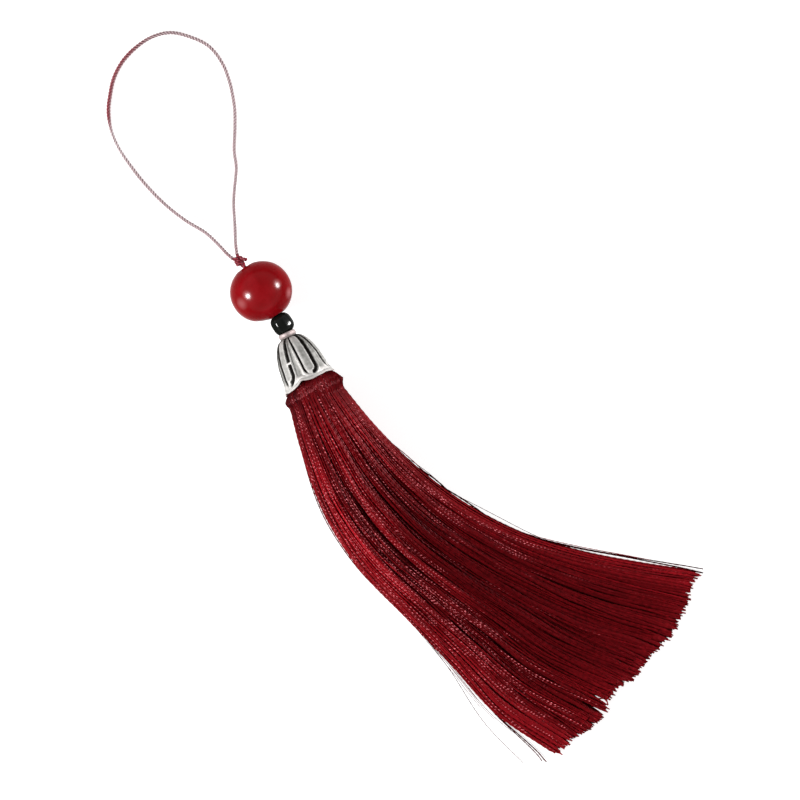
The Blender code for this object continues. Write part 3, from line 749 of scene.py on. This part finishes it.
THREADS = 1080  # besides those that cross them
THREAD_WIDE = 0.186 * MM
THREAD_THIN = 0.140 * MM
THREAD_PLY = 0.64 * MM  # from one ply's crest to the next ply's
PLY_LAY = (0.60, 0.95)  # shortest and longest, in millimetres
ROUTE_POINTS = 90
SEEN_FROM = -0.10  # threads lower than this in the neck's disc are hidden, and made more simply
HIDDEN_STEP = 2.4 * MM
HIDDEN_SHORT = 0.012
HIDDEN_WIDTH = 1.45
COLLAR_ROUTE = (  # distance from the rim, distance from the axis
    (-1.10, 3.76), (-0.20, 4.28), (0.40, 4.96), (1.10, 5.30), (1.90, 5.54), (2.35, 5.62), (2.75, 5.50),
)
COLLAR_POINTS = 20
COLLAR_FROM = 0.92  # threads this far out in the neck's disc start under the rim
COLLAR_PRESSED = (2.2, 1.2, 0.060)  # flattened on top: distance from the rim, reach, share of its radius
COLLAR_TUFTS = (2.1, 0.7, 0.07)  # where some threads stand out at the sides, reach, share of the radius
COLLAR_UNEVEN = 0.014
RIM_SHADE = ((0.1, 0.45), (1.1, 1.0))  # distance from the rim, how much of their tone the threads show
SKIRT_COLUMNS = ("x", "y", "half_width", "turn", "half_height", "flat", "lift")
SKIRT_SHARES = (0.00, 0.10, 0.25, 0.40, 0.55, 0.70, 0.85, 1.00)
SKIRT = (
    (-28.19, -3.58, 5.20, -20.00, 5.20, 0.00, 0.65),
    (-19.26, -6.41, 7.40, -24.00, 4.60, 0.20, 0.42),
    (-7.70, -9.15, 10.05, -18.70, 3.70, 0.60, 0.24),
    (4.25, -9.73, 12.05, -13.00, 2.90, 0.90, 0.23),
    (16.26, -8.14, 13.75, -8.10, 2.35, 1.00, 0.23),
    (27.82, -5.65, 16.35, -2.60, 2.00, 1.00, 0.23),
    (39.06, -2.70, 19.85, 2.10, 1.75, 1.00, 0.23),
    (49.96, 1.84, 22.25, 6.00, 1.55, 1.00, 0.23),
)
LEAST_HEIGHT = 0.24  # millimetres, of a thread's middle above the table
END_LINE = (  # place across the skirt, how far the threads there pass its last row, as a share
    (-1.00, 0.018), (-0.80, 0.024), (-0.64, 0.039), (-0.50, 0.047), (-0.38, 0.030), (-0.20, 0.029),
    (-0.06, 0.047), (0.20, 0.046), (0.40, 0.055), (0.56, 0.046), (0.72, 0.035), (0.88, 0.012),
    (1.00, 0.017),
)
END_RAGGED = 0.0055
TEETH = 37
TOOTH_STEP = 0.0045
TOOTH_PULL = 0.30
SLOTS = ((-0.475, 0.013), (-0.375, 0.017), (0.52, 0.005))  # where the ends stand apart, and how far
SLOT_REACH = 0.05
LOCKS = 9
LOCK_RIDGE = 0.10
LOCK_PULL = 0.42
LOCKS_BY = 0.3  # share of the length over which the threads draw together into locks
PACKED_FROM = (  # place across the skirt, share of the length past which the threads lie flat side by side
    (-1.0, 0.65), (-0.45, 0.50), (-0.15, 0.35), (0.15, 0.18), (0.5, 0.20), (0.75, 0.40),
)
PACKED_OVER = 0.3  # share over which they come to lie so
SWAY = 0.022  # how far a thread wanders in slow swings, as a share of the skirt's half width
SHIVER = 0.006  # the same in quick swings
DRIFT = 0.080  # the same to one side all its way
RISE = 0.08  # the same up and down
TONE = (  # share of the length, how bright the threads are painted there: painted light and shade along the skirt
    (-0.01, 0.25), (0.0, 0.29), (0.08, 0.43), (0.25, 0.32), (0.40, 0.23), (0.55, 0.19), (0.70, 0.20),
    (0.85, 0.215), (1.0, 0.28), (1.05, 0.38),
)
PAINTED_LIGHT_LOCKS = (  # painted light and shade on the locks: place across the skirt, half width, how much lighter it is painted (below 0 darker), from which share to which
    (-0.95, 0.20, 0.25, 0.28, 1.10),
    (-0.92, 0.16, 0.03, 0.42, 0.90),
    (-0.78, 0.08, 0.12, 0.62, 0.80),
    (-0.72, 0.15, 0.36, 0.14, 0.52),
    (-0.80, 0.32, -0.15, -0.10, 0.09),
    (-0.60, 0.08, 0.10, 0.50, 0.64),
    (-0.46, 0.10, -0.18, 0.05, 0.50),
    (-0.30, 0.16, 0.10, 0.93, 1.10),
    (-0.28, 0.09, 0.23, 0.30, 0.62),
    (-0.13, 0.09, 0.28, 0.08, 0.38),
    (0.02, 0.12, -0.04, 0.48, 0.64),
    (0.34, 0.13, -0.14, 0.15, 0.45),
    (0.62, 0.12, 0.10, 0.05, 0.32),
    (0.95, 0.16, 0.08, 0.05, 1.10),
    (0.95, 0.16, 0.18, 0.34, 1.10),
)
LIGHT_FADE = 0.08
GLINT_LEFT = (  # share of the length, how much of the left side's threads glints
    (0.0, 0.20), (0.08, 0.48), (0.2, 0.80), (0.35, 0.80), (0.5, 0.64), (0.65, 0.44), (0.8, 0.30), (1.05, 0.18)
)
GLINT_RIGHT = ((0.0, 0.16), (0.08, 0.34), (0.2, 0.26), (0.35, 0.10), (0.5, 0.04), (1.05, 0.01))
GLINT_ROW = ((0.05, 0.0), (0.12, 0.45), (0.50, 0.45), (0.65, 0.0))
GLINT_ROW_AT = (0.80, 0.06)  # place across the skirt, half width
CROSSERS = 60
MOST_TRIANGLES = 190000  # in one piece
GOLDEN = (1 + math.sqrt(5)) / 2
SEED = 7


def thread_mesh(name, threads, finish):
    """Many threads as one mesh. Their four-sided section is wide and thin by turns, as two plies twist.

    Each thread is its route, and at each point of the route its tone, its glint, how wide it is and how high.
    """
    places, faces, tones, glints, around = [], [], [], [], []
    first = 0
    for index, (route, shade, shine, wide, tall) in enumerate(threads):
        forward = unit(np.gradient(route, axis=0))
        side = unit(np.cross((0, 0, 1.0), forward))
        up = np.cross(forward, side)
        lying = np.arange(len(route)) % 2 == 0
        side = side * (np.where(lying, THREAD_WIDE, THREAD_THIN) * wide)[:, None]
        up = up * (np.where(lying, THREAD_THIN, THREAD_WIDE) * tall)[:, None]
        places.append(np.stack([route + side, route + up, route - side, route - up], axis=1).reshape(-1, 3))
        tones.append(np.repeat(shade, 4))
        glints.append(np.repeat(shine, 4))
        faces += tube_faces(len(route), 4, first)
        lay = PLY_LAY[0] + (PLY_LAY[1] - PLY_LAY[0]) * (index * GOLDEN % 1)
        walked = lengths_along(route) / MM / lay + index * 0.37
        start, stop = walked[:-1, None], walked[1:, None]
        left = np.tile(np.arange(4) / 4, (len(route) - 1, 1))
        right = left + 0.25
        corners = [(left, start), (right, start), (right, stop), (left, stop)]
        quads = np.stack([np.stack([u, v + 0 * u], -1) for u, v in corners], axis=2)
        around.append(quads.reshape(-1, 2))
        around.append(np.tile([[0.0, walked[0]]], (4, 1)))
        around.append(np.tile([[0.0, walked[-1]]], (4, 1)))
        first += 4 * len(route)
    piece = new_piece(name, np.concatenate(places), faces, finish)
    piece.data.shade_flat()
    paint_points(piece, "tone", np.concatenate(tones))
    paint_points(piece, "glint", np.concatenate(glints))
    plies = piece.data.uv_layers.new(name="plies")
    plies.data.foreach_set("uv", np.concatenate(around).astype(np.float32).ravel())
    return piece


def along_neck(along, radius, angle):
    """A point round the neck's axis: distance from the rim, from the axis, and the angle from straight up."""
    turn = math.radians(NECK_TURN)
    across = radius * np.sin(angle)
    x = RIM_AT[0] + along * math.cos(turn) - across * math.sin(turn)
    y = RIM_AT[1] + along * math.sin(turn) + across * math.cos(turn)
    return np.stack([x * MM, y * MM, STRING_HEIGHT + radius * np.cos(angle) * MM], axis=-1)


def skirt_station(share):
    """The skirt's section at each share of its length, straight on past its last row."""
    at = np.interp(share, SKIRT_SHARES, np.arange(len(SKIRT_SHARES)))
    grown = np.maximum(0, (share - SKIRT_SHARES[-1]) / (SKIRT_SHARES[-1] - SKIRT_SHARES[-2]))[..., None]
    row = smooth_rows(SKIRT, at) + (np.array(SKIRT[-1]) - np.array(SKIRT[-2])) * grown
    return dict(zip(SKIRT_COLUMNS, np.moveaxis(row, -1, 0)))


def lock_wave(across):
    """A slow uneven wave across the skirt: 1 on a lock's crest, -1 between locks."""
    phase = math.pi * LOCKS * across
    return 0.7 * np.cos(phase + 0.9 * np.sin(1.7 * across)) + 0.3 * np.cos(0.53 * phase + 1.0)


def thread_route(across, upward, share):
    """The middle of a thread at each share; across and upward are its place in the neck's disc."""
    row = skirt_station(share)
    turn = np.radians(row["turn"])
    half_column = np.sqrt(np.maximum(0.0, 1.0 - across**2))
    middle = (1 - row["flat"]) + row["flat"] * half_column
    height = row["half_height"] * (middle + upward)
    height = height * (1 + LOCK_RIDGE * row["flat"] * lock_wave(across))
    x = row["x"] - across * row["half_width"] * np.sin(turn)
    y = row["y"] + across * row["half_width"] * np.cos(turn)
    z = np.maximum(row["lift"] + height, LEAST_HEIGHT)
    return np.stack([x, y, z], axis=-1) * MM


def golden_places(count):
    """Places in a unit disc that stay well apart however the disc is stretched and flattened."""
    step = math.sqrt(math.pi / (math.sqrt(5) * count))
    reach = int(2 / step)
    places = []
    for i in range(-reach, reach + 1):
        for j in range(-reach, reach + 1):
            across = (i + 0.37 + (j + 0.21) * GOLDEN) * step
            upward = (i + 0.37 - (j + 0.21) / GOLDEN) * step
            if math.hypot(across, upward) < 1.0:
                places.append((across, upward))
    return sorted(places)


def hank_places(count):
    """The threads' places. The outermost are spread evenly round the collar, and have their angle there."""
    places = golden_places(count)
    outer = [place for place in places if math.hypot(*place) > COLLAR_FROM]
    outer.sort(key=lambda place: math.atan2(*place))
    hank = [(*place, None) for place in places if math.hypot(*place) <= COLLAR_FROM]
    for rank, place in enumerate(outer):
        angle = math.tau * (rank + 0.5) / len(outer) - math.pi
        out = math.hypot(*place)
        hank.append((out * math.sin(angle), out * math.cos(angle), angle))
    return sorted(hank, key=lambda place: place[:2])


def even_steps(points, step, first=0.5):
    """The same line, read at even steps after a first short one, and how far along it each step is."""
    walked = lengths_along(points)
    wanted = np.linspace(step * first, walked[-1], max(2, round(walked[-1] / step)))
    wanted = np.concatenate([[0.0], wanted])
    return read_along(points, walked, wanted), wanted, walked


def skirt_tone(across, share, near_rim):
    """How bright the threads are painted: painted shade under the rim, painted light and shade along the skirt
    and on its locks, out to their cut ends.
    """
    tone = read_off(TONE, share)
    for place, wide, lighter, begin, end in PAINTED_LIGHT_LOCKS:
        fade_in = np.clip((share - begin) / LIGHT_FADE + 0.5, 0, 1)
        fade_out = np.clip((end - share) / LIGHT_FADE + 0.5, 0, 1)
        tone = tone + lighter * hump(across, place, wide) * fade_in * fade_out
    return tone * near_rim


def skirt_glint(across, share):
    """How many crests are painted with glints: most on the left, and in a row at the right edge."""
    left = np.clip((0.25 - 1.0 * np.clip(share - 0.2, 0, 1) - across) / 0.35, 0, 1)
    row = hump(across, *GLINT_ROW_AT) * read_off(GLINT_ROW, share)
    return left * read_off(GLINT_LEFT, share) + (1 - left) * read_off(GLINT_RIGHT, share) + row


def packed(across, share):
    """How closely the threads lie, from 0 where they stand apart to 1 where they're combed flat."""
    return np.clip((share - read_off(PACKED_FROM, across)) / PACKED_OVER, 0, 1)


def parted(across, share):
    """Moves threads out of the slots between the cut ends' tufts."""
    for place, width in SLOTS:
        apart = np.copysign(width * np.exp(-np.abs(across - place) / SLOT_REACH), across - place)
        across = across + apart * np.clip((share - 0.96) / 0.06, 0, 1)
    return across


def tooth_phase(across):
    """Where a thread stands among the small teeth of the trimmed ends."""
    return math.pi * TEETH * across + 1.2 * math.sin(7 * across)


def gathered(across, share):
    """How far a thread is drawn sideways into its lock, and close to its end into its tooth."""
    lock = math.pi * LOCKS * across
    pull = LOCK_PULL * np.clip(share / LOCKS_BY, 0, 1) * (1 - 0.5 * packed(across, share))
    into_lock = (0.6 * math.sin(lock) + 0.3 * math.sin(1.73 * lock + 1.0)) / (math.pi * LOCKS) * pull
    into_tooth = math.sin(tooth_phase(across)) / (math.pi * TEETH) * TOOTH_PULL
    return -into_lock - into_tooth * np.clip((share - 0.85) / 0.15, 0, 1)


chance = random.Random(SEED)


def swing(share, fewest, most):
    """A wave along a thread, with its own number of swings."""
    return np.sin(math.tau * (share * chance.uniform(fewest, most) + chance.random()))


def trimmed_end(across, seen):
    """The share of the skirt's length at which a thread is cut."""
    tooth = tooth_phase(across)
    end = 1 + read_off(END_LINE, across)
    end += TOOTH_STEP * (0.6 * math.cos(tooth) + 0.4 * math.cos(1.57 * tooth + 0.5))
    ragged = END_RAGGED * (chance.uniform(-0.8, 0.4) + 1.6 * chance.random() ** 8)
    return end + (ragged - (0.0 if seen else HIDDEN_SHORT))


def over_collar(angle):
    """A thread's way out from under the rim over the collar, and how much of its tone shows there."""
    along, radius = smooth_rows(COLLAR_ROUTE, np.linspace(0, len(COLLAR_ROUTE) - 1, COLLAR_POINTS)).T
    upward = math.cos(angle)
    low = 1 - COLLAR_PRESSED[2] * max(upward, 0.0) ** 2 * hump(along, *COLLAR_PRESSED[:2])
    tuft = chance.uniform(0, COLLAR_TUFTS[2]) * (abs(upward) < 0.35 and chance.random() < 0.5)
    low = low + (tuft + chance.uniform(-COLLAR_UNEVEN, COLLAR_UNEVEN)) * hump(along, *COLLAR_TUFTS[:2])
    out = along + rim_slant(math.degrees(angle)) * np.clip((2.6 - along) / 2.4, 0, 1)
    return along_neck(out, radius * low, angle), read_off(RIM_SHADE, along)


threads = []
for across, upward, angle in hank_places(THREADS):
    seen = upward > SEEN_FROM or abs(across) > 0.85
    share = np.linspace(0.0 if angle is None else 0.015, trimmed_end(across, seen), ROUTE_POINTS)
    spread = np.clip(share / LOCKS_BY, 0, 1)
    sway = SWAY * spread * swing(share, 0.5, 1.4)
    sway = sway + SHIVER * swing(share, 3.0, 7.0)
    drift = chance.uniform(-DRIFT, DRIFT) * (share - 0.25) * spread
    room = max(0.15, 1 - across**2)
    beside = np.clip(parted(across + gathered(across, share) + (sway + drift) * room, share), -1, 1)
    rise = RISE * spread * swing(share, 0.6, 1.6) * (1 - 0.75 * packed(across, share))
    highest = np.sqrt(1 - beside**2)
    route = thread_route(beside, np.clip(upward + rise, -highest, highest), share)
    near_rim = np.ones(len(share))
    if angle is not None:
        collar, shaded = over_collar(angle)
        route = np.concatenate([collar, route])
        near_rim = np.concatenate([shaded, near_rim])
        share = np.concatenate([np.full(len(collar), -0.01), share])
    route, wanted, walked = even_steps(route, THREAD_PLY if seen else HIDDEN_STEP, chance.uniform(0.3, 1.3))
    share = np.interp(wanted, walked, share)
    near_rim = np.interp(wanted, walked, near_rim)
    close = packed(across, share)
    # Painted shade: threads that lie deeper in the hank, and are not yet combed flat, are darker.
    depth = 0.78 + 0.22 * np.clip((upward + 0.2) / 0.8 + close, 0, 1)
    uneven = chance.uniform(-1, 1) * (0.14 if across < 0 else 0.09) * (1 - 0.75 * close)
    tone = np.clip(skirt_tone(across, share, near_rim) * depth + uneven, 0.02, 1)
    cluster = 0.5 + 1.0 * np.sin(math.tau * (wanted / MM / chance.uniform(3, 11) + chance.random()))
    glint = np.clip((skirt_glint(across, share) * cluster - 0.8 * chance.random()) / 0.12, 0, 1)
    calm = np.clip(0.6 * np.clip(1 - share / 0.10, 0, 1) + close, 0, 1)
    size = chance.uniform(0.90, 1.10) if seen else HIDDEN_WIDTH
    size = size * np.clip((wanted[-1] - wanted) / MM, 0.4, 1)
    threads.append((route, tone, glint, size * (1.12 + 0.50 * calm), size * (1.05 - 0.42 * calm)))

# Some threads lie across the others on top of the skirt.
for number in range(CROSSERS):
    start = chance.uniform(-0.85, 0.85)
    drift = chance.choice((-1, 1)) * chance.uniform(0.08, 0.30)
    rising = chance.uniform(0.03, 0.35)
    share = np.linspace(0.02, 1.02, ROUTE_POINTS)
    beside = np.clip(parted(start + drift * np.clip(share - 0.08, 0, 1), share), -0.97, 0.97)
    sunk = 0.25 * np.clip(1 - (share - rising) / 0.12, 0, 1)
    route = thread_route(beside, np.sqrt(1 - beside**2) - 0.02 - sunk, share)
    route[:, 2] += 0.12 * MM * np.clip(share / 0.2, 0, 1)
    route, wanted, walked = even_steps(route, THREAD_PLY, chance.uniform(0.3, 1.3))
    share = np.interp(wanted, walked, share)
    tone = np.clip(skirt_tone(start, share, 1.0) + chance.uniform(-0.05, 0.08), 0, 1)
    cluster = 0.7 + 0.8 * np.sin(math.tau * (wanted / MM / chance.uniform(8, 30) + chance.random()))
    glint = np.clip((1.4 * skirt_glint(start, share) * cluster - 0.4 * chance.random()) / 0.12, 0, 1)
    threads.append((route, tone, glint, 0.95, 0.95))

groups, budget = [[]], 0
for thread in threads:
    triangles = 8 * len(thread[0])
    if budget + triangles > MOST_TRIANGLES:
        groups.append([])
        budget = 0
    groups[-1].append(thread)
    budget += triangles
for number, group in enumerate(groups, 1):
    piece = thread_mesh(f"skirt_threads_{number}", group, silk)
    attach(piece, "root")
    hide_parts("skirt")

# Single threads that have slipped out of the skirt's edges and lie beside it on the table.
STRAYS = (  # side, shares where it leaves and ends, widest and last distance out in mm, size, tone
    (-1, 0.60, 0.954, 2.45, 4.75, 0.35, 0.10),
    (-1, 0.82, 1.000, 1.25, 2.50, 0.60, 0.12),
    (-1, 0.83, 1.010, 1.07, 2.15, 0.70, 0.12),
    (-1, 0.58, 0.82, 0.90, 1.20, 0.22, 0.20),
    (-1, 0.62, 0.86, 0.75, 1.05, 0.20, 0.30),
    (-1, 0.66, 0.90, 0.60, 0.90, 0.25, 0.20),
    (-1, 0.60, 0.80, 0.45, 0.60, 0.25, 0.35),
    (-1, 0.10, 0.44, 0.25, 0.0, 0.60, 0.30),
    (1, 0.16, 0.30, 0.42, 0.0, 0.55, 0.40),
    (1, 0.21, 0.36, 0.60, 0.0, 0.30, 0.05),
    (1, 0.25, 0.36, 0.45, 0.0, 0.85, 0.02),
    (1, 0.32, 0.46, 0.42, 0.0, 0.90, 0.02),
    (1, 0.33, 0.60, 0.95, 0.4, 0.32, 0.10),
    (1, 0.56, 1.022, 1.0, 0.75, 0.65, 0.02),
    (1, 0.60, 1.024, 0.75, 0.0, 0.80, 0.02),
    (1, 0.54, 0.95, 1.15, 0.8, 0.40, 0.45),
)
STRAY_POINTS = 40
loose = []
for side, leaves, ends, widest, last, size, shade in STRAYS:
    share = np.linspace(leaves - 0.10, ends, STRAY_POINTS)
    part = np.clip((share - leaves) / (ends - leaves), 0, 1)
    edge = thread_route(np.full(STRAY_POINTS, side * 0.998), np.zeros(STRAY_POINTS), share)
    out = unit(np.cross((0, 0, 1.0), np.gradient(edge, axis=0)) * side)
    away = (widest - last / 2) * np.sin(math.pi * part) + last * part**1.5
    route = even_steps(edge + out * (away * MM)[:, None], THREAD_PLY)[0]
    glint = 0.3 if shade > 0.2 else 0.0
    loose.append((route, np.full(len(route), shade), np.full(len(route), glint), size, size))
strays = thread_mesh("stray_threads", loose, silk)
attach(strays, "root")
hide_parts("skirt")
